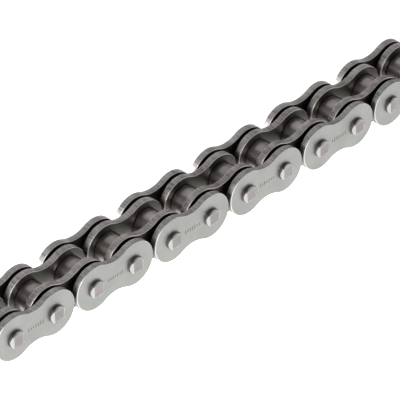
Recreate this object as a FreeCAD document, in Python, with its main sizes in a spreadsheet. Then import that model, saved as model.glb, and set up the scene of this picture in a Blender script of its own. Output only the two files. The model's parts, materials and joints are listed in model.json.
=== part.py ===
import FreeCAD, Part
import Sketcher
import os

from FreeCAD import Vector

# Sealed roller chain, 13 links long: 7 inner (roller) links and 6 outer (pin) links in turn.
# The middle of the strip is the origin. X runs along the chain, Y across it and Z up.

doc = FreeCAD.newDocument("RollerChain")


# ---- driving dimensions, in millimetres and degrees ----

sizes = doc.addObject("Spreadsheet::Sheet", "Sizes")
dimensions = [
    ("pitch", 15.875, "between neighbouring pin centres"),
    ("innerWidth", 6.35, "between the two inner plates"),
    ("lobeRadius", 7.5, "round ends of every plate"),
    ("waistHalf", 5.55, "half height of a plate at its waist"),
    ("innerThickness", 2.3, "inner plate"),
    ("outerThickness", 2.25, "outer plate"),
    ("plateGap", 1.285, "room for the seal between an inner and an outer plate"),
    ("plateBevel", 0.15, "broken edge of the plates"),
    ("rollerRadius", 5.08, "outside of a roller"),
    ("rollerPlay", 0.1, "gap between a roller and the plate beside it"),
    ("rollerFit", 0.06, "radial clearance of a roller on its bush"),
    ("rollerBevel", 0.35, "broken edge of the rollers"),
    ("bushRadius", 3.6, "outside of a bush"),
    ("bushProud", 0.3, "how far a bush stands out of its inner plate"),
    ("pinFit", 0.05, "radial clearance of a pin in its bush"),
    ("pinRadius", 2.62, "shank of a pin"),
    ("headRadius", 2.85, "riveted head of a pin"),
    ("headHeight", 1.5, "how far a head stands out of its outer plate"),
    ("facetStart", 1.75, "from the pin's axis to where a staked facet begins"),
    ("facetDrop", 0.64, "how far a facet has fallen at the edge of the head"),
    ("sealRadius", 0.61, "thickness of a seal ring, as a radius"),
    ("sealFit", 0.05, "radial gap between a seal ring and its bush"),
]
for row, (name, value, note) in enumerate(dimensions, start=1):
    sizes.set(f"A{row}", name)
    sizes.set(f"B{row}", str(value))
    sizes.set(f"C{row}", note)
    sizes.setAlias(f"B{row}", name)
doc.recompute()

linkCount = 13
middleLink = 7
sides = {"front": -1, "rear": 1}


# ---- helpers ----

def size(expression):
    """The present value of an expression of the sheet's cells."""
    value = sizes.evalExpression(expression)
    return getattr(value, "Value", value)


def newBody(name):
    body = doc.addObject("PartDesign::Body", name)
    body.Label = name
    return body


def newSketch(body, name, role):
    plane = next(part for part in body.Origin.OriginFeatures if part.Role == role)
    sketch = body.newObject("Sketcher::SketchObject", f"{body.Name}_{name}")
    sketch.AttachmentSupport = [(plane, "")]
    sketch.MapMode = "FlatFace"
    return sketch


def bindConstraint(sketch, kind, references, expression):
    number = sketch.addConstraint(Sketcher.Constraint(kind, *references, size(expression)))
    sketch.setExpression(f"Constraints[{number}]", expression)


def bindOffset(sketch, axis, point, side, expression):
    """Hold a sketch point at a signed distance from the origin, along X or Y."""
    origin = (-1, 1)
    references = (*origin, *point) if side > 0 else (*point, *origin)
    bindConstraint(sketch, f"Distance{axis}", references, expression)


def addCircle(sketch, radius, side=0):
    """A circle on the sketch's X axis: at the origin, or half a pitch to one side of it."""
    middle = Vector(side * size("Sizes.pitch / 2"), 0, 0)
    circle = sketch.addGeometry(Part.Circle(middle, Vector(0, 0, 1), size(radius)), False)
    bindConstraint(sketch, "Radius", (circle,), radius)
    if side:
        sketch.addConstraint(Sketcher.Constraint("PointOnObject", circle, 3, -1))
        bindOffset(sketch, "X", (circle, 3), side, "Sizes.pitch / 2")
    else:
        sketch.addConstraint(Sketcher.Constraint("Coincident", circle, 3, -1, 1))


def addTriangle(sketch, corners):
    """A closed triangle; each corner is ((side, expression) for X, (side, expression) for Y)."""
    points = [Vector(x[0] * size(x[1]), y[0] * size(y[1]), 0) for x, y in corners]
    lines = [
        sketch.addGeometry(Part.LineSegment(points[n], points[(n + 1) % 3]), False)
        for n in range(3)
    ]
    for n in range(3):
        sketch.addConstraint(Sketcher.Constraint("Coincident", lines[n], 2, lines[(n + 1) % 3], 1))
    for line, (x, y) in zip(lines, corners):
        bindOffset(sketch, "X", (line, 1), *x)
        bindOffset(sketch, "Y", (line, 1), *y)


def padBothWays(body, sketch, length):
    pad = body.newObject("PartDesign::Pad", sketch.Name.replace("_sketch", "_pad"))
    pad.Profile = sketch
    pad.SideType = "Symmetric"
    pad.setExpression("Length", length)
    doc.recompute()
    return pad


def pocketBothWays(body, sketch, length=None):
    pocket = body.newObject("PartDesign::Pocket", sketch.Name.replace("_sketch", "_pocket"))
    pocket.Profile = sketch
    pocket.SideType = "Symmetric"
    if length:
        pocket.setExpression("Length", length)
    else:
        pocket.Type = "ThroughAll"
    doc.recompute()
    return pocket


def bevelFlatFaces(body, base, bevel):
    """Break every edge around the flat faces of the last feature."""
    flat = [
        f"Face{number}"
        for number, face in enumerate(base.Shape.Faces, start=1)
        if isinstance(face.Surface, Part.Plane)
    ]
    chamfer = body.newObject("PartDesign::Chamfer", f"{body.Name}_bevel")
    chamfer.Base = (base, flat)
    chamfer.setExpression("Size", bevel)
    doc.recompute()


def place(part, x="0", y="0"):
    part.setExpression("Placement.Base.x", x)
    part.setExpression("Placement.Base.y", y)


def linkMiddle(link):
    return f"Sizes.pitch * {link - middleLink}"


# ---- sub-parts ----

def makePlate(name, thickness, holeRadius):
    """A waisted plate: two round lobes, joined by hollow arcs that run tangent to them."""
    body = newBody(name)
    sketch = newSketch(body, "outline_sketch", "XZ_Plane")
    lobe = size("Sizes.lobeRadius")
    half = size("Sizes.pitch / 2")
    waist = "(Sizes.pitch ^ 2 / 4 + Sizes.waistHalf ^ 2 - Sizes.lobeRadius ^ 2)"
    waist += " / (2 * (Sizes.lobeRadius - Sizes.waistHalf))"
    waistY = size("Sizes.waistHalf") + size(waist)

    def point(x, y):
        """Where the lobe at x meets the waist arc centred at y, on the line between centres."""
        return Vector(x, 0, 0) + Vector(-x, y, 0).normalize() * lobe

    rightTop = point(half, waistY)
    leftTop = point(-half, waistY)
    leftBottom = point(-half, -waistY)
    rightBottom = point(half, -waistY)
    outline = [
        (rightBottom, Vector(half + lobe, 0, 0), rightTop),
        (rightTop, Vector(0, size("Sizes.waistHalf"), 0), leftTop),
        (leftTop, Vector(-half - lobe, 0, 0), leftBottom),
        (leftBottom, Vector(0, -size("Sizes.waistHalf"), 0), rightBottom),
    ]
    for start, middle, end in outline:
        sketch.addGeometry(Part.Arc(start, middle, end), False)
    rightLobe, topWaist, leftLobe, bottomWaist = range(4)
    # a waist arc is stored anticlockwise, so it starts where the outline leaves it
    for lobeArc, lobeEnd, waistArc, waistEnd in (
        (rightLobe, 2, topWaist, 2),
        (topWaist, 1, leftLobe, 1),
        (leftLobe, 2, bottomWaist, 2),
        (bottomWaist, 1, rightLobe, 1),
    ):
        sketch.addConstraint(Sketcher.Constraint("Tangent", lobeArc, lobeEnd, waistArc, waistEnd))
    sketch.addConstraint(Sketcher.Constraint("Equal", rightLobe, leftLobe))
    sketch.addConstraint(Sketcher.Constraint("Equal", topWaist, bottomWaist))
    for arc, side in ((rightLobe, 1), (leftLobe, -1)):
        sketch.addConstraint(Sketcher.Constraint("PointOnObject", arc, 3, -1))
        bindOffset(sketch, "X", (arc, 3), side, "Sizes.pitch / 2")
    bindConstraint(sketch, "Radius", (rightLobe,), "Sizes.lobeRadius")
    bindConstraint(sketch, "Radius", (topWaist,), waist)
    for side in (-1, 1):
        addCircle(sketch, holeRadius, side)
    pad = padBothWays(body, sketch, thickness)
    bevelFlatFaces(body, pad, "Sizes.plateBevel")
    return body


def makePins(name):
    """The two pins of an outer link: round shanks with riveted heads, staked on four sides."""
    body = newBody(name)
    toPlate = "Sizes.innerWidth / 2 + Sizes.innerThickness + Sizes.plateGap + Sizes.outerThickness"
    toEnd = f"{toPlate} + Sizes.headHeight"
    rod = newSketch(body, "rod_sketch", "XZ_Plane")
    ring = newSketch(body, "shank_sketch", "XZ_Plane")
    for side in (-1, 1):
        addCircle(rod, "Sizes.headRadius", side)
        addCircle(ring, "Sizes.pinRadius", side)
        addCircle(ring, "Sizes.headRadius * 2", side)
    padBothWays(body, rod, f"2 * ({toEnd})")
    pocketBothWays(body, ring, f"2 * ({toPlate})")

    # the cuts run a little past the head, on the same slope
    past = 1.2
    start = "Sizes.facetStart"
    rim = f"{start} + (Sizes.headRadius - {start}) * {past}"
    low = f"{toEnd} - Sizes.facetDrop * {past}"
    flanks = newSketch(body, "flank_sketch", "XY_Plane")
    crowns = newSketch(body, "crown_sketch", "YZ_Plane")
    for end in (-1, 1):
        for side in (-1, 1):
            addTriangle(crowns, [
                ((end, toEnd), (side, start)),
                ((end, toEnd), (side, rim)),
                ((end, low), (side, rim)),
            ])
            for pin in (-1, 1):
                # a cut towards the body's middle lies nearer to it than the pin's axis
                sign = "+" if side == pin else "-"
                addTriangle(flanks, [
                    ((pin, f"Sizes.pitch / 2 {sign} ({start})"), (end, toEnd)),
                    ((pin, f"Sizes.pitch / 2 {sign} ({rim})"), (end, toEnd)),
                    ((pin, f"Sizes.pitch / 2 {sign} ({rim})"), (end, low)),
                ])
    pocketBothWays(body, flanks)
    pocketBothWays(body, crowns)
    return body


def makeBushes(name):
    """The two bushes of an inner link, each a plain tube pressed through both plates."""
    body = newBody(name)
    sketch = newSketch(body, "ring_sketch", "XZ_Plane")
    for side in (-1, 1):
        addCircle(sketch, "Sizes.bushRadius", side)
        addCircle(sketch, "Sizes.pinRadius + Sizes.pinFit", side)
    padBothWays(body, sketch, "Sizes.innerWidth + 2 * (Sizes.innerThickness + Sizes.bushProud)")
    return body


def makeRoller(name):
    body = newBody(name)
    sketch = newSketch(body, "ring_sketch", "XZ_Plane")
    addCircle(sketch, "Sizes.rollerRadius")
    addCircle(sketch, "Sizes.bushRadius + Sizes.rollerFit")
    pad = padBothWays(body, sketch, "Sizes.innerWidth - 2 * Sizes.rollerPlay")
    rims = [
        f"Edge{number}"
        for number, edge in enumerate(pad.Shape.Edges, start=1)
        if isinstance(edge.Curve, Part.Circle) and edge.Curve.Radius > size("Sizes.bushRadius") * 1.1
    ]
    fillet = body.newObject("PartDesign::Fillet", f"{name}_rim")
    fillet.Base = (pad, rims)
    fillet.setExpression("Radius", "Sizes.rollerBevel")
    doc.recompute()
    return body


def makeSeals(name, pinSides):
    """Rubber rings around the ends of the bushes, in the gap beside each inner plate."""
    rings = []
    for side in pinSides:
        for across in sides.values():
            ring = doc.addObject("Part::Torus", f"{name}_ring")
            ring.setExpression("Radius2", "Sizes.sealRadius")
            ring.setExpression("Radius1", "Sizes.bushRadius + Sizes.sealFit + Sizes.sealRadius")
            ring.Placement.Rotation = FreeCAD.Rotation(Vector(1, 0, 0), 90)
            reach = "Sizes.innerWidth / 2 + Sizes.innerThickness + Sizes.sealRadius"
            place(ring, f"{side} * Sizes.pitch / 2", f"{across} * ({reach})")
            rings.append(ring)
    group = doc.addObject("Part::Compound", name)
    group.Label = name
    group.Links = rings
    return group


# ---- the chain ----

parts = []
for link in range(1, linkCount + 1):
    inner = link % 2 == 1
    kind = "inner" if inner else "outer"
    thickness = f"Sizes.{kind}Thickness"
    holeRadius = "Sizes.bushRadius" if inner else "Sizes.pinRadius"
    gap = "Sizes.innerWidth / 2"
    if not inner:
        gap += " + Sizes.innerThickness + Sizes.plateGap"
    for side, across in sides.items():
        plate = makePlate(f"{kind}_plate_{side}_{link:02d}", thickness, holeRadius)
        place(plate, linkMiddle(link), f"{across} * ({gap} + {thickness} / 2)")
        parts.append(plate)
    if inner:
        bushes = makeBushes(f"bush_pair_{link:02d}")
        # the two end bushes of the strip have no seals: a joining link brings its own
        sealed = [side for side in (-1, 1) if 1 <= link + side <= linkCount]
        seals = makeSeals(f"seal_rings_{link:02d}", sealed)
        for group in (bushes, seals):
            place(group, linkMiddle(link))
            parts.append(group)
        for letter, side in (("a", -1), ("b", 1)):
            roller = makeRoller(f"roller_{link:02d}{letter}")
            place(roller, f"{linkMiddle(link)} + {side} * Sizes.pitch / 2")
            parts.append(roller)
    else:
        pins = makePins(f"pin_pair_{link:02d}")
        place(pins, linkMiddle(link))
        parts.append(pins)
doc.recompute()


# ---- check and write ----

for item in doc.Objects:
    if "Invalid" in item.State or "Error" in item.State:
        raise RuntimeError(f"{item.Label}: {item.State}")

os.makedirs("parts", exist_ok=True)
for part in parts:
    if part.Shape.isNull() or not part.Shape.isValid():
        raise RuntimeError(f"{part.Label}: no valid shape")
    part.Shape.exportStep(f"parts/{part.Label}.step")
print(len(parts), "parts written")
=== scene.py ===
import json
import math

import bpy
from mathutils import Matrix, Vector


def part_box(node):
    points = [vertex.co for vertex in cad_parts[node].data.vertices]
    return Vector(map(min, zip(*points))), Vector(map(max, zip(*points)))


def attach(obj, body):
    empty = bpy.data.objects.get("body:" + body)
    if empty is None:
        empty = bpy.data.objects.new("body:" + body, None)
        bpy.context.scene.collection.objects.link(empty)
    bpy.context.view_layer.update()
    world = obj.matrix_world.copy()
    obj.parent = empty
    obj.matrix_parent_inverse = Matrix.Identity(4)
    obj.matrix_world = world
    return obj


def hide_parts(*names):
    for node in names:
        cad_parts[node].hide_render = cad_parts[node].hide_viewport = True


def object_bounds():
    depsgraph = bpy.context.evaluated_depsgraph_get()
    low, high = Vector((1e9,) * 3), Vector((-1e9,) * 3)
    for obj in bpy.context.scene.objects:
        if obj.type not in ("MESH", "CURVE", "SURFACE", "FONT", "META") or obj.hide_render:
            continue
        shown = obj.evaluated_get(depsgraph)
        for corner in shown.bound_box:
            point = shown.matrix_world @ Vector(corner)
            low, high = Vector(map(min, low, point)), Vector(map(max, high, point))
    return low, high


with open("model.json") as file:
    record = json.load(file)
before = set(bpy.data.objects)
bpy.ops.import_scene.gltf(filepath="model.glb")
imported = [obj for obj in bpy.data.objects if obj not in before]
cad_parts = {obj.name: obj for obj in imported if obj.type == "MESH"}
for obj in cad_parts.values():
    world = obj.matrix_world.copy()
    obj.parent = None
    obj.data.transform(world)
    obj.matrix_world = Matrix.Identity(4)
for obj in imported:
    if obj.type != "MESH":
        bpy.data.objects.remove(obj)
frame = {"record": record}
cadLow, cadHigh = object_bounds()
bodies = frame["record"]["behaviour"]["bodies"]
mm = 0.001


# what the frame says: every size below is read from the CAD parts

def middle(low, high):
    return (low + high) / 2


linkNames = sorted(name for name in bodies if name.startswith("link_"))
rollerNames = sorted(name for name in bodies if name.startswith("roller_"))
innerLinks = [name for name in linkNames if any("bush" in node for node in bodies[name])]
outerLinks = [name for name in linkNames if name not in innerLinks]


def nodeOf(link, word):
    return next(node for node in bodies[link] if word in node)


def spanOf(node):
    low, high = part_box(node)
    return high - low


def centreX(node):
    low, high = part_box(node)
    return middle(low.x, high.x)


def linkX(link):
    return centreX(bodies[link][0])


def plateSizes(kind, link):
    low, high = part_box(nodeOf(link, f"{kind}_plate_front"))
    return {
        "Lobe Radius": (high.z - low.z) / 2,
        "Thickness": high.y - low.y,
        "Plate Offset": -middle(low.y, high.y),
    }


rollerX = sorted(centreX(name) for name in rollerNames)
pitch = rollerX[1] - rollerX[0]
outerSize = plateSizes("outer", outerLinks[0])
innerSize = plateSizes("inner", innerLinks[0])
pinSpan = spanOf(nodeOf(outerLinks[0], "pin_pair"))
bushSpan = spanOf(nodeOf(innerLinks[0], "bush_pair"))
rollerSpan = spanOf(rollerNames[0])
sealSpan = spanOf(nodeOf(innerLinks[1], "seal_rings"))
# the gap between inner and outer plates, measured out from the middle of the chain
gapLow = innerSize["Plate Offset"] + innerSize["Thickness"] / 2
gapHigh = outerSize["Plate Offset"] - outerSize["Thickness"] / 2
gapMiddle = middle(gapLow, gapHigh)
gapHalf = (gapHigh - gapLow) / 2
print(f"frame read: {len(linkNames)} links at a pitch of {pitch / mm:.3f} mm")


# small tools for building node trees

def feed(tree, socket, value):
    if isinstance(value, bpy.types.NodeSocket):
        tree.links.new(value, socket)
    else:
        socket.default_value = value


def addNode(tree, kind, settings=None, inputs=None):
    node = tree.nodes.new(kind)
    for name, value in (settings or {}).items():
        setattr(node, name, value)
    for socket, value in (inputs or {}).items():
        if isinstance(value, (list, tuple)) and value and isinstance(value[0], bpy.types.NodeSocket):
            for single in value:
                tree.links.new(single, node.inputs[socket])
        else:
            feed(tree, node.inputs[socket], value)
    return node


def calc(tree, operation, first, second=0.0):
    node = addNode(tree, "ShaderNodeMath", {"operation": operation}, {0: first, 1: second})
    return node.outputs[0]


def xyz(tree, x=0.0, y=0.0, z=0.0):
    return addNode(tree, "ShaderNodeCombineXYZ", inputs={0: x, 1: y, 2: z}).outputs[0]


def moved(tree, geometry, translation=(0, 0, 0), rotation=(0, 0, 0)):
    inputs = {"Geometry": geometry, "Translation": translation, "Rotation": rotation}
    return addNode(tree, "GeometryNodeTransform", inputs=inputs).outputs[0]


def joined(tree, *parts):
    # links into a join are read last to first, which only changes the order of the vertices
    return addNode(tree, "GeometryNodeJoinGeometry", inputs={"Geometry": list(parts)}).outputs[0]


def startTree(name, sizes, finish):
    tree = bpy.data.node_groups.new(name, "GeometryNodeTree")
    tree.is_modifier = True
    tree.interface.new_socket("Geometry", in_out="INPUT", socket_type="NodeSocketGeometry")
    for label, value in sizes.items():
        kind = "NodeSocketInt" if isinstance(value, int) else "NodeSocketFloat"
        tree.interface.new_socket(label, in_out="INPUT", socket_type=kind).default_value = value
    material = tree.interface.new_socket("Finish", in_out="INPUT", socket_type="NodeSocketMaterial")
    material.default_value = finish
    tree.interface.new_socket("Geometry", in_out="OUTPUT", socket_type="NodeSocketGeometry")
    return tree, tree.nodes.new("NodeGroupInput").outputs


def endTree(tree, geometry, finish):
    real = addNode(tree, "GeometryNodeRealizeInstances", inputs={"Geometry": geometry}).outputs[0]
    painted = addNode(tree, "GeometryNodeSetMaterial", inputs={"Geometry": real, "Material": finish})
    tree.links.new(painted.outputs[0], tree.nodes.new("NodeGroupOutput").inputs[0])
    return tree


def runTree(piece, tree, sizes, finish):
    modifier = piece.modifiers.new(tree.name, "NODES")
    modifier.node_group = tree
    given = {**sizes, "Finish": finish}
    for item in tree.interface.items_tree:
        if item.in_out == "INPUT" and item.name in given:
            modifier[item.identifier] = given[item.name]


def softenEdges(piece, shape):
    bevel = piece.modifiers.new("brokenEdges", "BEVEL")
    bevel.width = shape["edgeWidth"]
    bevel.segments = shape["edgeSteps"]
    bevel.limit_method = "ANGLE"
    bevel.angle_limit = math.radians(shape["edgeAngle"])
    bevel.use_clamp_overlap = True


def newPiece(name):
    piece = bpy.data.objects.new(name, bpy.data.meshes.new(name))
    bpy.context.scene.collection.objects.link(piece)
    return piece


flatNormal = 0.999  # a face is flat if its normal lies this much along the pins


def freeze(piece, flatEnds):
    graph = bpy.context.evaluated_depsgraph_get()
    made = bpy.data.meshes.new_from_object(piece.evaluated_get(graph), depsgraph=graph)
    piece.modifiers.clear()
    piece.data = made
    made.name = piece.name
    # everything round is shaded smooth
    for face in made.polygons:
        face.use_smooth = not flatEnds or abs(face.normal.y) < flatNormal


def settle(piece, body, nodes, flatEnds=True):
    freeze(piece, flatEnds)
    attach(piece, body)
    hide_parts(*nodes)


# finishes

def startFinish(name, roughness, metallic=1.0):
    material = bpy.data.materials.new(name)
    material.use_nodes = True
    tree = material.node_tree
    shader = tree.nodes["Principled BSDF"]
    shader.inputs["Metallic"].default_value = metallic
    shader.inputs["Roughness"].default_value = roughness
    coordinates = tree.nodes.new("ShaderNodeTexCoord")
    return material, tree, shader, coordinates


def noise(tree, vector, scale, detail=3.0, stretch=(1, 1, 1)):
    mapping = addNode(tree, "ShaderNodeMapping", inputs={"Vector": vector, "Scale": stretch})
    inputs = {"Vector": mapping.outputs[0], "Scale": scale, "Detail": detail}
    return addNode(tree, "ShaderNodeTexNoise", inputs=inputs).outputs["Fac"]


def ramp(tree, factor, start, end, low=0.0, high=1.0):
    inputs = {0: factor, 1: start, 2: end, 3: low, 4: high}
    return addNode(tree, "ShaderNodeMapRange", inputs=inputs).outputs[0]


def band(tree, value, rise, fall):
    # full from the end of the rise to the start of the fall, and nothing outside both
    return calc(tree, "MULTIPLY", ramp(tree, value, *rise), ramp(tree, value, *fall, 1.0, 0.0))


def blend(tree, factor, first, second):
    node = addNode(tree, "ShaderNodeMix", {"data_type": "RGBA"}, {0: factor, 6: first, 7: second})
    return node.outputs[2]


def rgb(red, green, blue):
    return (red, green, blue, 1.0)


def alongPins(tree, vector):
    # how much of a vector lies along the pins, whichever way it points
    parts = addNode(tree, "ShaderNodeSeparateXYZ", inputs={0: vector}).outputs
    return calc(tree, "ABSOLUTE", parts[1])


def addBump(tree, shader, look, height):
    bump = addNode(tree, "ShaderNodeBump", inputs={
        "Strength": look["bump"], "Distance": look["bumpDepth"], "Height": height})
    tree.links.new(bump.outputs[0], shader.inputs["Normal"])


# sizes are in cycles per metre, so a larger one is a finer pattern; a pair is where a noise or a tilt
# starts to count and where it counts in full; a tilt is 1 on a flat face and 0 on a rim

evenSpread = (0.3, 0.7)  # the part of a noise's range where nearly all of it lies
plateTexture = {
    "faceTilt": (0.75, 0.97),
    "cornerStart": (0.25, 0.45),
    "cornerEnd": (0.85, 0.97),
    "cloudSize": 150,
    "grainSize": 2600,
    "speckSpread": (0.35, 0.75),
    "speckMost": 0.22,
    "streakStretch": (1, 0.08, 1),
    "streakShare": 0.65,
    "patchSize": 260,
    "patchStretch": (1, 0.5, 1),
    "edgeSpread": (0.36, 0.64),
    "gapShadeEdge": (0.05 * mm, 0.25 * mm),
    "edgeDuller": (-0.06, 0.08),
    "faceDuller": (-0.05, 0.05),
}
turnedTexture = {
    "cloudSize": 220,
    "lineSize": 900,
    "lineStretch": (0.25, 3, 0.25),
    "facetStart": (0.3, 0.6),
    "facetEnd": (0.9, 0.98),
    "duller": (-0.05, 0.07),
}
rubberTexture = {
    "dustSize": 500,
    "dustSpread": (0.45, 0.8),
    "grainSize": 3000,
}


def varied(tree, factor, roughness, change):
    return ramp(tree, factor, *evenSpread, roughness + change[0], roughness + change[1])


def plateFinish(name, look):
    material, tree, shader, coordinates = startFinish(name, look["faceRoughness"])
    place = coordinates.outputs["Object"]
    tilt = alongPins(tree, coordinates.outputs["Normal"])
    onFace = ramp(tree, tilt, *plateTexture["faceTilt"])
    # tumbled faces: cloudy tone and a fine grain
    cloud = ramp(tree, noise(tree, place, plateTexture["cloudSize"], detail=2), *evenSpread)
    grain = noise(tree, place, plateTexture["grainSize"], detail=2)
    specks = ramp(tree, grain, *plateTexture["speckSpread"], 0.0, plateTexture["speckMost"])
    face = blend(tree, cloud, look["faceLow"], look["faceHigh"])
    face = blend(tree, specks, face, look["faceSpeck"])
    # blanked edges: shear streaks that run through the thickness
    streak = noise(tree, place, plateTexture["grainSize"], stretch=plateTexture["streakStretch"])
    patch = noise(
        tree, place, plateTexture["patchSize"], detail=2, stretch=plateTexture["patchStretch"])
    streakPart = calc(tree, "MULTIPLY", streak, plateTexture["streakShare"])
    patchPart = calc(tree, "MULTIPLY", patch, 1 - plateTexture["streakShare"])
    tone = ramp(tree, calc(tree, "ADD", streakPart, patchPart), *plateTexture["edgeSpread"])
    edge = blend(tree, tone, look["edgeLow"], look["edgeHigh"])
    # painted shade: the faces inside the gaps between inner and outer plates, which shut the seals in,
    # are painted near black
    fromGap = calc(tree, "ABSOLUTE", calc(tree, "SUBTRACT", alongPins(tree, place), gapMiddle))
    nearEdge, farEdge = plateTexture["gapShadeEdge"]
    inGap = ramp(tree, fromGap, gapHalf + nearEdge, gapHalf + farEdge, 1.0, 0.0)
    gapShadeMask = calc(tree, "MULTIPLY", inGap, onFace)
    face = blend(tree, gapShadeMask, face, look["gapShade"])
    metal = blend(tree, onFace, edge, face)
    # painted highlight: the rounded corners between face and edge are painted bright
    cornerHighlightMask = band(tree, tilt, plateTexture["cornerStart"], plateTexture["cornerEnd"])
    metal = blend(tree, cornerHighlightMask, metal, look["cornerHighlight"])
    # painted shade: the faces of the punched strokes are painted dark
    struck = addNode(tree, "ShaderNodeAttribute", {"attribute_name": "struck"}).outputs["Fac"]
    metal = blend(tree, struck, metal, look["strokeShade"])
    tree.links.new(metal, shader.inputs["Base Color"])
    edgeRough = varied(tree, streak, look["edgeRoughness"], plateTexture["edgeDuller"])
    faceRough = varied(tree, grain, look["faceRoughness"], plateTexture["faceDuller"])
    mixed = addNode(tree, "ShaderNodeMix", inputs={0: onFace, 2: edgeRough, 3: faceRough})
    tree.links.new(mixed.outputs[0], shader.inputs["Roughness"])
    heights = addNode(tree, "ShaderNodeMix", inputs={0: onFace, 2: streak, 3: grain})
    addBump(tree, shader, look, heights.outputs[0])
    return material


def turnedFinish(name, look):
    material, tree, shader, coordinates = startFinish(name, look["roughness"])
    place = coordinates.outputs["Object"]
    cloud = ramp(tree, noise(tree, place, turnedTexture["cloudSize"]), *evenSpread)
    lines = noise(tree, place, turnedTexture["lineSize"], stretch=turnedTexture["lineStretch"])
    metal = blend(tree, cloud, look["low"], look["high"])
    if "facet" in look:
        # painted highlight: the pressed facets are painted bright, while the flat end and the wall
        # keep the darker base colour
        tilt = alongPins(tree, coordinates.outputs["Normal"])
        facetHighlightMask = band(tree, tilt, turnedTexture["facetStart"], turnedTexture["facetEnd"])
        metal = blend(tree, facetHighlightMask, metal, look["facet"])
    tree.links.new(metal, shader.inputs["Base Color"])
    rough = varied(tree, lines, look["roughness"], turnedTexture["duller"])
    tree.links.new(rough, shader.inputs["Roughness"])
    addBump(tree, shader, look, lines)
    return material


def rubberFinish(name, look):
    material, tree, shader, coordinates = startFinish(name, look["roughness"], metallic=0.0)
    place = coordinates.outputs["Object"]
    dust = ramp(tree, noise(tree, place, rubberTexture["dustSize"]), *rubberTexture["dustSpread"])
    tree.links.new(blend(tree, dust, look["low"], look["high"]), shader.inputs["Base Color"])
    addBump(tree, shader, look, noise(tree, place, rubberTexture["grainSize"], detail=2))
    return material


outerLook = {
    "faceLow": rgb(0.345, 0.352, 0.332),
    "faceHigh": rgb(0.395, 0.398, 0.378),
    "faceSpeck": rgb(0.46, 0.458, 0.438),
    "edgeLow": rgb(0.24, 0.228, 0.223),
    "edgeHigh": rgb(0.50, 0.483, 0.474),
    # painted highlight colour for the rounded corners between face and edge
    "cornerHighlight": rgb(0.86, 0.84, 0.82),
    # painted shade colour for the faces inside the gaps between the plates
    "gapShade": rgb(0.078, 0.07, 0.073),
    # painted shade colour for the faces of the punched strokes
    "strokeShade": rgb(0.2, 0.2, 0.192),
    "faceRoughness": 0.46,
    "edgeRoughness": 0.5,
    "bump": 0.25,
    "bumpDepth": 0.05 * mm,
}
innerLook = {
    **outerLook,
    "faceLow": rgb(0.15, 0.15, 0.138),
    "faceHigh": rgb(0.25, 0.245, 0.227),
    "faceSpeck": rgb(0.34, 0.33, 0.31),
    "edgeLow": rgb(0.18, 0.158, 0.152),
    "edgeHigh": rgb(0.54, 0.495, 0.48),
    # painted highlight colour for the rounded corners of the inner plates
    "cornerHighlight": rgb(0.88, 0.84, 0.80),
    "faceRoughness": 0.34,
}
# the free ends of the chain have no outer plate beside them, so their gap faces get a lighter painted
# shade
endLook = {**innerLook, "gapShade": rgb(0.22, 0.215, 0.205)}
rollerLook = {
    "low": rgb(0.24, 0.215, 0.205),
    "high": rgb(0.38, 0.348, 0.335),
    "roughness": 0.33,
    "bump": 0.12,
    "bumpDepth": 0.03 * mm,
}
pinLook = {
    "low": rgb(0.255, 0.236, 0.232),
    "high": rgb(0.33, 0.307, 0.302),
    # painted highlight colour for the staked facets of the heads
    "facet": rgb(0.50, 0.485, 0.482),
    "roughness": 0.18,
    "bump": 0.2,
    "bumpDepth": 0.03 * mm,
}
bushLook = {
    "low": rgb(0.34, 0.33, 0.31),
    "high": rgb(0.42, 0.41, 0.39),
    "roughness": 0.28,
    "bump": 0.1,
    "bumpDepth": 0.03 * mm,
}
rubberLook = {
    "low": rgb(0.012, 0.012, 0.013),
    "high": rgb(0.03, 0.03, 0.032),
    "roughness": 0.55,
    "bump": 0.3,
    "bumpDepth": 0.05 * mm,
}
outerSteel = plateFinish("outerPlateSteel", outerLook)
innerSteel = plateFinish("innerPlateSteel", innerLook)
endSteel = plateFinish("endPlateSteel", endLook)
rollerSteel = turnedFinish("rollerSteel", rollerLook)
pinSteel = turnedFinish("pinSteel", pinLook)
bushSteel = turnedFinish("bushSteel", bushLook)
sealRubber = rubberFinish("sealRubber", rubberLook)
print("finishes made")


# plates: an outline of four tangent arcs, cut through by two holes and given its thickness

plateShape = {
    "waistShare": 0.74,      # half height at the waist, as a share of the lobe's radius
    "lobePoints": 56,
    "waistPoints": 20,
    "holePoints": 48,
    "edgeWidth": 0.3 * mm,   # how far the blanked edge is rounded over
    "edgeSteps": 3,
    "edgeAngle": 40,
    "weld": 0.001 * mm,
}


def welded(tree, geometry):
    inputs = {"Geometry": geometry, "Distance": plateShape["weld"]}
    return addNode(tree, "GeometryNodeMergeByDistance", inputs=inputs).outputs[0]


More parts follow.
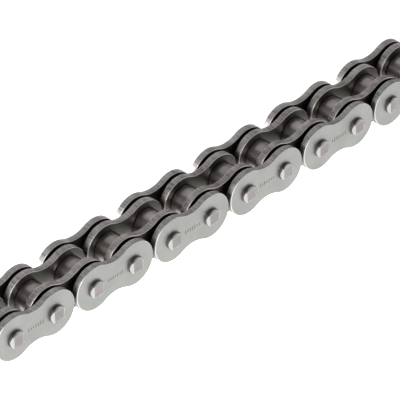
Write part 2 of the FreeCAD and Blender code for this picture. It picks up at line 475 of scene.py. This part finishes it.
def plateTree():
    sizes = {
        "Pitch": pitch,
        "Lobe Radius": 7.5 * mm,
        "Waist Half": 5.5 * mm,
        "Hole Radius": 2.6 * mm,
        "Thickness": 2.2 * mm,
        "Plate Offset": 8.0 * mm,
        "Link X": 0.0,
    }
    tree, given = startTree("platePair", sizes, outerSteel)
    lobe = given["Lobe Radius"]
    waist = given["Waist Half"]
    half = calc(tree, "MULTIPLY", given["Pitch"], 0.5)
    # the arc of the waist touches both lobes: its radius and its distance from the middle
    spread = calc(tree, "SUBTRACT", calc(tree, "POWER", waist, 2.0), calc(tree, "POWER", lobe, 2.0))
    spread = calc(tree, "ADD", calc(tree, "POWER", half, 2.0), spread)
    twiceDip = calc(tree, "MULTIPLY", calc(tree, "SUBTRACT", lobe, waist), 2.0)
    arcRadius = calc(tree, "DIVIDE", spread, twiceDip)
    arcY = calc(tree, "ADD", waist, arcRadius)
    touch = calc(tree, "ARCTAN2", arcY, calc(tree, "MULTIPLY", half, -1.0))
    lobeArc = addNode(tree, "GeometryNodeCurveArc", {"mode": "RADIUS"}, {
        "Resolution": plateShape["lobePoints"],
        "Radius": lobe,
        "Start Angle": calc(tree, "MULTIPLY", touch, -1.0),
        "Sweep Angle": calc(tree, "MULTIPLY", touch, 2.0),
    })
    waistArc = addNode(tree, "GeometryNodeCurveArc", {"mode": "RADIUS"}, {
        "Resolution": plateShape["waistPoints"],
        "Radius": arcRadius,
        "Start Angle": calc(tree, "SUBTRACT", touch, math.pi),
        "Sweep Angle": calc(tree, "SUBTRACT", math.pi, calc(tree, "MULTIPLY", touch, 2.0)),
    })
    side = joined(
        tree,
        moved(tree, lobeArc.outputs[0], xyz(tree, half)),
        moved(tree, waistArc.outputs[0], xyz(tree, 0.0, arcY)),
    )
    outline = joined(tree, side, moved(tree, side, rotation=(0, 0, math.pi)))
    wires = addNode(tree, "GeometryNodeCurveToMesh", inputs={"Curve": outline}).outputs[0]
    outline = addNode(tree, "GeometryNodeMeshToCurve", inputs={"Mesh": welded(tree, wires)}).outputs[0]
    hole = addNode(tree, "GeometryNodeCurvePrimitiveCircle", {"mode": "RADIUS"}, {
        "Resolution": plateShape["holePoints"], "Radius": given["Hole Radius"]}).outputs[0]
    holes = joined(
        tree,
        moved(tree, hole, xyz(tree, half)),
        moved(tree, hole, xyz(tree, calc(tree, "MULTIPLY", half, -1.0))),
    )
    closed = joined(tree, outline, holes)
    sheet = addNode(tree, "GeometryNodeFillCurve", {"mode": "NGONS"}, {"Curve": closed})
    down = calc(tree, "MULTIPLY", given["Thickness"], -0.5)
    under = moved(tree, sheet.outputs[0], xyz(tree, z=down))
    walls = addNode(tree, "GeometryNodeExtrudeMesh", {"mode": "FACES"}, {
        "Mesh": under, "Offset Scale": given["Thickness"], "Individual": False})
    floor = addNode(tree, "GeometryNodeFlipFaces", inputs={"Mesh": under}).outputs[0]
    plate = welded(tree, joined(tree, walls.outputs[0], floor))
    # turned to stand on edge: the top of the sheet becomes the outer face of the front plate
    offset = given["Plate Offset"]
    front = moved(tree, plate, xyz(tree, z=offset))
    pair = joined(tree, front, moved(tree, front, rotation=(0, math.pi, 0)))
    pair = moved(tree, pair, xyz(tree, given["Link X"]), (math.pi / 2, 0, 0))
    return endTree(tree, pair, given["Finish"])


# stamped ticks: a short row of shallow punch strokes on the outer faces

tickShape = {
    "count": 7,
    "step": 0.95 * mm,
    "halfLength": 1.15 * mm,
    "shortest": 0.45,        # the shortest stroke, as a share of the longest
    "lean": 0.12,            # how far a stroke may lean either way, in radians
    "strokeRadius": 0.26 * mm,
    "depth": 0.1 * mm,
    "roundness": 3,
}


def tickTree():
    sizes = {
        "Count": tickShape["count"],
        "Step": tickShape["step"],
        "Half Length": tickShape["halfLength"],
        "Stroke Radius": tickShape["strokeRadius"],
        "Depth": tickShape["depth"],
        "Face Y": 9.0 * mm,
        "Link X": 0.0,
        "Seed": 1,
    }
    tree, given = startTree("stampedTicks", sizes, outerSteel)
    # the strokes differ in length and lean a little, as hand-set punches do
    lastStep = calc(tree, "SUBTRACT", given["Count"], 1.0)
    start = calc(tree, "MULTIPLY", calc(tree, "MULTIPLY", lastStep, given["Step"]), -0.5)
    row = addNode(tree, "GeometryNodeMeshLine", {"mode": "OFFSET"}, {
        "Count": given["Count"],
        "Start Location": xyz(tree, start),
        "Offset": xyz(tree, given["Step"]),
    })
    ball = addNode(tree, "GeometryNodeMeshIcoSphere", inputs={
        "Radius": 1.0, "Subdivisions": tickShape["roundness"]})
    share = addNode(tree, "FunctionNodeRandomValue", {"data_type": "FLOAT"}, {
        "Min": tickShape["shortest"], "Max": 1.0, "Seed": given["Seed"]})
    lean = addNode(tree, "FunctionNodeRandomValue", {"data_type": "FLOAT"}, {
        "Min": -tickShape["lean"], "Max": tickShape["lean"], "Seed": given["Seed"]})
    length = calc(tree, "MULTIPLY", share.outputs[1], given["Half Length"])
    strokes = addNode(tree, "GeometryNodeInstanceOnPoints", inputs={
        "Points": row.outputs[0],
        "Instance": ball.outputs[0],
        "Rotation": xyz(tree, y=lean.outputs[1]),
        "Scale": xyz(tree, given["Stroke Radius"], given["Stroke Radius"], length),
    })
    strokes = addNode(tree, "GeometryNodeRealizeInstances", inputs={"Geometry": strokes.outputs[0]})
    # the faces that the strokes leave behind carry this mark into the finish, which paints shade on
    # them
    marked = {"data_type": "FLOAT", "domain": "FACE"}
    strokes = addNode(tree, "GeometryNodeStoreNamedAttribute", marked, {
        "Geometry": strokes.outputs[0], "Name": "struck", "Value": 1.0}).outputs[0]
    sink = calc(tree, "SUBTRACT", given["Stroke Radius"], given["Depth"])
    out = calc(tree, "ADD", given["Face Y"], sink)
    front = moved(tree, strokes, xyz(tree, given["Link X"], calc(tree, "MULTIPLY", out, -1.0)))
    rear = moved(tree, strokes, xyz(tree, given["Link X"], out))
    cut = addNode(tree, "GeometryNodeMeshBoolean", {"operation": "DIFFERENCE", "solver": "EXACT"}, {
        "Mesh 1": given["Geometry"], "Mesh 2": [front, rear]})
    return endTree(tree, cut.outputs[0], given["Finish"])


plates = plateTree()
ticks = tickTree()


def makePlates(link, kind, sizes, holeRadius, finish, tickSeed=None):
    piece = newPiece(f"{kind}Plates_{link[-2:]}")
    runTree(piece, plates, {
        **sizes,
        "Waist Half": sizes["Lobe Radius"] * plateShape["waistShare"],
        "Hole Radius": holeRadius,
        "Link X": linkX(link),
    }, finish)
    softenEdges(piece, plateShape)
    if tickSeed:
        runTree(piece, ticks, {
            "Face Y": sizes["Plate Offset"] + sizes["Thickness"] / 2,
            "Link X": linkX(link),
            "Seed": tickSeed,
        }, finish)
    nodes = [node for node in bodies[link] if "plate" in node]
    settle(piece, link, nodes)


# pins: round shanks, and riveted heads staked on four sides

pinShape = {
    "points": 64,
    "headShare": 1.5 / 21.02,    # height of a head, as a share of the pin's length
    "shankShare": 2.62 / 2.85,   # radius of the shank, as a share of the head's
    "facetShare": 1.75 / 2.85,   # where a facet starts, as a share of the head's radius
    "dropShare": 0.64 / 1.5,     # how far a facet falls, as a share of the head's height
    "edgeWidth": 0.12 * mm,
    "edgeSteps": 3,
    "edgeAngle": 20,
    "turn": math.radians(3.0),   # how far a head may be turned from square
}
headRadius = pinSpan.z / 2
headHeight = pinSpan.y * pinShape["headShare"]
shankRadius = headRadius * pinShape["shankShare"]


def pinTree():
    sizes = {
        "Pitch": pitch,
        "Head Radius": headRadius,
        "Shank Radius": shankRadius,
        "Half Length": pinSpan.y / 2,
        "Head Height": headHeight,
        "Facet Start": headRadius * pinShape["facetShare"],
        "Facet Drop": headHeight * pinShape["dropShare"],
        "Link X": 0.0,
        "Turn": pinShape["turn"],
        "Seed": 1,
    }
    tree, given = startTree("rivetedPins", sizes, pinSteel)
    high = given["Head Height"]
    seat = calc(tree, "SUBTRACT", given["Half Length"], high)
    button = addNode(tree, "GeometryNodeMeshCylinder", inputs={
        "Vertices": pinShape["points"], "Radius": given["Head Radius"], "Depth": high})
    # a four-sided hip whose sides are the facets, run down to the foot of the head
    start = given["Facet Start"]
    reach = calc(tree, "SUBTRACT", given["Head Radius"], start)
    spread = calc(tree, "MULTIPLY", reach, calc(tree, "DIVIDE", high, given["Facet Drop"]))
    foot = calc(tree, "ADD", start, spread)
    hip = addNode(tree, "GeometryNodeMeshCone", inputs={
        "Vertices": 4,
        "Radius Top": calc(tree, "MULTIPLY", start, math.sqrt(2)),
        "Radius Bottom": calc(tree, "MULTIPLY", foot, math.sqrt(2)),
        "Depth": high,
    })
    # the cone stands on its base and the cylinder is centred on it
    hip = moved(tree, hip.outputs[0], rotation=(0, 0, math.pi / 4))
    button = moved(tree, button.outputs[0], xyz(tree, z=calc(tree, "MULTIPLY", high, 0.5)))
    head = addNode(tree, "GeometryNodeMeshBoolean", {"operation": "INTERSECT", "solver": "EXACT"}, {
        "Mesh 2": [button, hip]}).outputs[0]
    shank = addNode(tree, "GeometryNodeMeshCylinder", inputs={
        "Vertices": pinShape["points"],
        "Radius": given["Shank Radius"],
        "Depth": calc(tree, "MULTIPLY", seat, 2.0),
    }).outputs[0]
    # four heads on two pins: points at both ends of both, each turned a little
    ends = addNode(tree, "GeometryNodeMeshLine", {"mode": "OFFSET"}, {
        "Count": 2,
        "Start Location": xyz(tree, calc(tree, "MULTIPLY", given["Pitch"], -0.5)),
        "Offset": xyz(tree, given["Pitch"]),
    }).outputs[0]
    turn = addNode(tree, "FunctionNodeRandomValue", {"data_type": "FLOAT"}, {
        "Min": calc(tree, "MULTIPLY", given["Turn"], -1.0),
        "Max": given["Turn"],
        "Seed": given["Seed"],
    })
    heads = addNode(tree, "GeometryNodeInstanceOnPoints", inputs={
        "Points": ends, "Instance": head, "Rotation": xyz(tree, z=turn.outputs[1])}).outputs[0]
    shanks = addNode(tree, "GeometryNodeInstanceOnPoints", inputs={
        "Points": ends, "Instance": shank}).outputs[0]
    heads = moved(tree, heads, xyz(tree, z=seat))
    pair = joined(tree, shanks, heads, moved(tree, heads, rotation=(0, math.pi, 0)))
    pair = moved(tree, pair, xyz(tree, given["Link X"]), (math.pi / 2, 0, 0))
    return endTree(tree, pair, given["Finish"])


pins = pinTree()


def makePins(link, turnSeed):
    piece = newPiece(f"pins_{link[-2:]}")
    runTree(piece, pins, {"Link X": linkX(link), "Seed": turnSeed}, pinSteel)
    softenEdges(piece, pinShape)
    settle(piece, link, [nodeOf(link, "pin_pair")])


# turned rings: a rounded section swept round a circle, one for a roller or two for a link's bushes

ringShape = {
    "points": 96,
    "cornerPoints": 4,
    "rollerCorner": 0.4 * mm,
    "rollerWall": 1.42 * mm,
    "bushCorner": 0.15 * mm,
    "bushWall": 0.93 * mm,
}


def ringTree():
    sizes = {
        "Outer Radius": rollerSpan.z / 2,
        "Wall": ringShape["rollerWall"],
        "Width": rollerSpan.y,
        "Corner": ringShape["rollerCorner"],
        "Centre X": 0.0,
        "Spacing": 0.0,
        "Count": 1,
    }
    tree, given = startTree("turnedRings", sizes, rollerSteel)
    radius = calc(tree, "SUBTRACT", given["Outer Radius"], calc(tree, "MULTIPLY", given["Wall"], 0.5))
    path = addNode(tree, "GeometryNodeCurvePrimitiveCircle", {"mode": "RADIUS"}, {
        "Resolution": ringShape["points"], "Radius": radius}).outputs[0]
    section = addNode(tree, "GeometryNodeCurvePrimitiveQuadrilateral", inputs={
        "Width": given["Wall"], "Height": given["Width"]}).outputs[0]
    section = addNode(tree, "GeometryNodeFilletCurve", {"mode": "POLY"}, {
        "Curve": section, "Radius": given["Corner"], "Count": ringShape["cornerPoints"]})
    ring = addNode(tree, "GeometryNodeCurveToMesh", inputs={
        "Curve": path, "Profile Curve": section.outputs[0]}).outputs[0]
    half = calc(tree, "MULTIPLY", given["Spacing"], -0.5)
    places = addNode(tree, "GeometryNodeMeshLine", {"mode": "OFFSET"}, {
        "Count": given["Count"],
        "Start Location": xyz(tree, half),
        "Offset": xyz(tree, given["Spacing"]),
    }).outputs[0]
    rings = addNode(tree, "GeometryNodeInstanceOnPoints", inputs={
        "Points": places, "Instance": ring}).outputs[0]
    rings = moved(tree, rings, xyz(tree, given["Centre X"]), (math.pi / 2, 0, 0))
    return endTree(tree, rings, given["Finish"])


rings = ringTree()


def makeBushes(link):
    piece = newPiece(f"bushes_{link[-2:]}")
    runTree(piece, rings, {
        "Outer Radius": bushSpan.z / 2,
        "Wall": ringShape["bushWall"],
        "Width": bushSpan.y,
        "Corner": ringShape["bushCorner"],
        "Centre X": linkX(link),
        "Spacing": pitch,
        "Count": 2,
    }, bushSteel)
    settle(piece, link, [nodeOf(link, "bush_pair")])


def makeRoller(name):
    piece = newPiece(f"turned_{name}")
    runTree(piece, rings, {"Centre X": centreX(name)}, rollerSteel)
    settle(piece, name, [name])


# seals: rubber rings with four lips, in the gaps beside the inner plates

sealSection = (sealSpan.y / 2 - gapLow) / 2
sealShape = {
    "points": 72,
    "lipPoints": 4,
    "lipShare": 0.86,      # reach of a lip, as a share of the way to the corner of the section
    "hollowShare": 0.576,  # how far out a hollow between lips lies, as a share of a lip's reach
    "lipRounding": 0.35,   # rounding of a lip, as a share of half the section
}


def sealTree():
    sizes = {
        "Ring Radius": sealSpan.z / 2 - sealSection,
        "Half Section": sealSection,
        "Gap Y": gapLow + sealSection,
        "Left": 1.0,
        "Right": 1.0,
        "Pitch": pitch,
        "Link X": 0.0,
    }
    tree, given = startTree("sealRings", sizes, sealRubber)
    path = addNode(tree, "GeometryNodeCurvePrimitiveCircle", {"mode": "RADIUS"}, {
        "Resolution": sealShape["points"], "Radius": given["Ring Radius"]}).outputs[0]
    reach = calc(tree, "MULTIPLY", given["Half Section"], math.sqrt(2) * sealShape["lipShare"])
    section = addNode(tree, "GeometryNodeCurveStar", inputs={
        "Points": 4,
        "Inner Radius": calc(tree, "MULTIPLY", reach, sealShape["hollowShare"]),
        "Outer Radius": reach,
    }).outputs[0]
    section = moved(tree, section, rotation=(0, 0, math.pi / 4))
    section = addNode(tree, "GeometryNodeFilletCurve", {"mode": "POLY"}, {
        "Curve": section,
        "Radius": calc(tree, "MULTIPLY", given["Half Section"], sealShape["lipRounding"]),
        "Count": sealShape["lipPoints"],
        "Limit Radius": True,
    })
    ring = addNode(tree, "GeometryNodeCurveToMesh", inputs={
        "Curve": path, "Profile Curve": section.outputs[0]}).outputs[0]
    corners = addNode(tree, "GeometryNodeMeshGrid", inputs={
        "Size X": given["Pitch"],
        "Size Y": calc(tree, "MULTIPLY", given["Gap Y"], 2.0),
        "Vertices X": 2,
        "Vertices Y": 2,
    }).outputs[0]
    # the chain's free ends have a bush without a pin, and no seal there
    position = tree.nodes.new("GeometryNodeInputPosition").outputs[0]
    x = addNode(tree, "ShaderNodeSeparateXYZ", inputs={0: position}).outputs[0]
    onLeft = calc(tree, "MULTIPLY", calc(tree, "LESS_THAN", x, 0.0), given["Left"])
    onRight = calc(tree, "MULTIPLY", calc(tree, "GREATER_THAN", x, 0.0), given["Right"])
    placed = addNode(tree, "GeometryNodeInstanceOnPoints", inputs={
        "Points": corners,
        "Selection": calc(tree, "ADD", onLeft, onRight),
        "Instance": moved(tree, ring, rotation=(math.pi / 2, 0, 0)),
    }).outputs[0]
    placed = moved(tree, placed, xyz(tree, given["Link X"]))
    return endTree(tree, placed, given["Finish"])


seals = sealTree()


def makeSeals(link):
    node = nodeOf(link, "seal_rings")
    low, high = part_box(node)
    centre = linkX(link)
    piece = newPiece(f"seals_{link[-2:]}")
    runTree(piece, seals, {
        "Left": 1.0 if low.x < centre else 0.0,
        "Right": 1.0 if high.x > centre else 0.0,
        "Link X": centre,
    }, sealRubber)
    settle(piece, link, [node], flatEnds=False)


for number, link in enumerate(outerLinks, start=1):
    makePlates(link, "outer", outerSize, shankRadius, outerSteel, number)
    makePins(link, number)
print(f"{len(outerLinks)} outer links made")
for link in innerLinks:
    atEnd = link in (innerLinks[0], innerLinks[-1])
    makePlates(link, "inner", innerSize, bushSpan.z / 2, endSteel if atEnd else innerSteel)
    makeBushes(link)
    makeSeals(link)
print(f"{len(innerLinks)} inner links made")
for name in rollerNames:
    makeRoller(name)
print(f"{len(rollerNames)} rollers made")


# floor, light and camera

studio = {
    "floorDrop": 0.1,
    "floorSize": 12.0,
    "floorColour": rgb(0.92, 0.92, 0.92),
    "floorGlow": 0.94,
    "floorRoughness": 0.9,
    "airLow": rgb(1.0, 1.0, 1.0),
    "airHigh": rgb(0.12, 0.12, 0.12),
    "airFrom": 0.20,
    "airTo": 0.45,
}
lights = {
    "keyLight": {"power": 2.6, "place": (0.25, 0.65, 0.85), "size": 1.1},
    "rearLight": {"power": 3.0, "place": (-0.49, 0.345, -0.01), "size": 0.14},
    "sideLight": {"power": 1.5, "place": (-0.50, -0.05, 0.30), "size": 0.14},
}


def makeFloor():
    mesh = bpy.data.meshes.new("paleFloor")
    half = studio["floorSize"] / 2
    drop = cadLow.z - studio["floorDrop"]
    corners = [(-half, -half, drop), (half, -half, drop), (half, half, drop), (-half, half, drop)]
    mesh.from_pydata(corners, [], [(0, 1, 2, 3)])
    floor = bpy.data.objects.new("paleFloor", mesh)
    bpy.context.scene.collection.objects.link(floor)
    material = bpy.data.materials.new("paleFloor")
    material.use_nodes = True
    shader = material.node_tree.nodes["Principled BSDF"]
    shader.inputs["Base Color"].default_value = studio["floorColour"]
    shader.inputs["Roughness"].default_value = studio["floorRoughness"]
    shader.inputs["Emission Color"].default_value = studio["floorColour"]
    shader.inputs["Emission Strength"].default_value = studio["floorGlow"]
    mesh.materials.append(material)


def addSoftLight(name, power, place, size):
    data = bpy.data.lights.new(name, "AREA")
    data.energy = power
    data.size = size
    light = bpy.data.objects.new(name, data)
    light.location = place
    # turned to the middle of the chain
    light.rotation_euler = (-light.location).to_track_quat("-Z", "Y").to_euler()
    bpy.context.scene.collection.objects.link(light)


def makeWorld():
    world = bpy.data.worlds.new("studioAir")
    world.use_nodes = True
    tree = world.node_tree
    sky = tree.nodes["Background"]
    outward = addNode(tree, "ShaderNodeTexCoord").outputs["Generated"]
    height = addNode(tree, "ShaderNodeSeparateXYZ", inputs={0: outward}).outputs[2]
    rise = addNode(tree, "ShaderNodeMapRange", {"interpolation_type": "SMOOTHSTEP"}, {
        0: height, 1: studio["airFrom"], 2: studio["airTo"]}).outputs[0]
    tree.links.new(blend(tree, rise, studio["airLow"], studio["airHigh"]), sky.inputs["Color"])
    bpy.context.scene.world = world


cameraSet = {
    "azimuth": -44.40,
    "elevation": 37.11,
    "roll": -1.16,
    "distance": 1.0740,
    "lens": 321.3,
    "sensor": 36.0,
    "near": 0.01,
    "far": 50.0,
    "target": (-0.0025, 0.0012, -0.0022),
}


def makeCamera():
    data = bpy.data.cameras.new("camera")
    data.lens = cameraSet["lens"]
    data.sensor_width = cameraSet["sensor"]
    data.clip_start = cameraSet["near"]
    data.clip_end = cameraSet["far"]
    camera = bpy.data.objects.new("camera", data)
    bpy.context.scene.collection.objects.link(camera)
    turn = math.radians(cameraSet["azimuth"])
    rise = math.radians(cameraSet["elevation"])
    back = Vector((math.sin(turn) * math.cos(rise), -math.cos(turn) * math.cos(rise), math.sin(rise)))
    camera.location = Vector(cameraSet["target"]) + back * cameraSet["distance"]
    level = (-back).to_track_quat("-Z", "Y").to_matrix().to_4x4()
    roll = Matrix.Rotation(math.radians(cameraSet["roll"]), 4, "Z")
    camera.rotation_euler = (level @ roll).to_euler()
    bpy.context.scene.camera = camera


makeFloor()
makeWorld()
for name, light in lights.items():
    addSoftLight(name, **light)
makeCamera()
bpy.context.scene.view_settings.view_transform = "Standard"
print("studio set")
